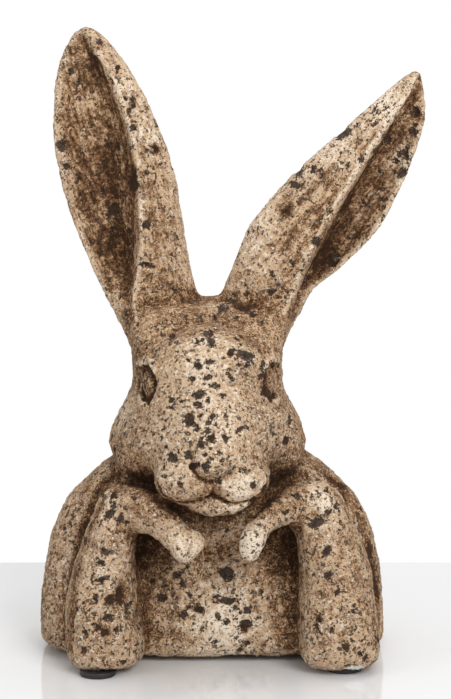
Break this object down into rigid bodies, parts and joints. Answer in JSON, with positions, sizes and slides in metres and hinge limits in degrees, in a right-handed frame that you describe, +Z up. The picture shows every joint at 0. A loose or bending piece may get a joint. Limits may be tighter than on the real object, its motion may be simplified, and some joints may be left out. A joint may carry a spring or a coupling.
{
  "type": "hare sculpture",
  "caption": "Garden ornament of an upright-eared hare that leans on its elbows with folded paws under its chin, cast in aged stone, on round rubber pads.",
  "frame": {"origin": "on the floor, under the middle of the box around the whole figure", "axes": "+Z up along the ears, the figure faces -Y, +X is to its own left, which is the right of its front view"},
  "size_m": [0.229, 0.1616, 0.369],
  "materials": {
    "cast_stone": null,
    "pad_rubber": "black rubber, dull"
  },
  "bodies": {
    "root": {"hare": "cast_stone", "pad_front_right": "pad_rubber", "pad_front_left": "pad_rubber", "pad_back_right": "pad_rubber", "pad_back_left": "pad_rubber"}
  },
  "joints": []
}
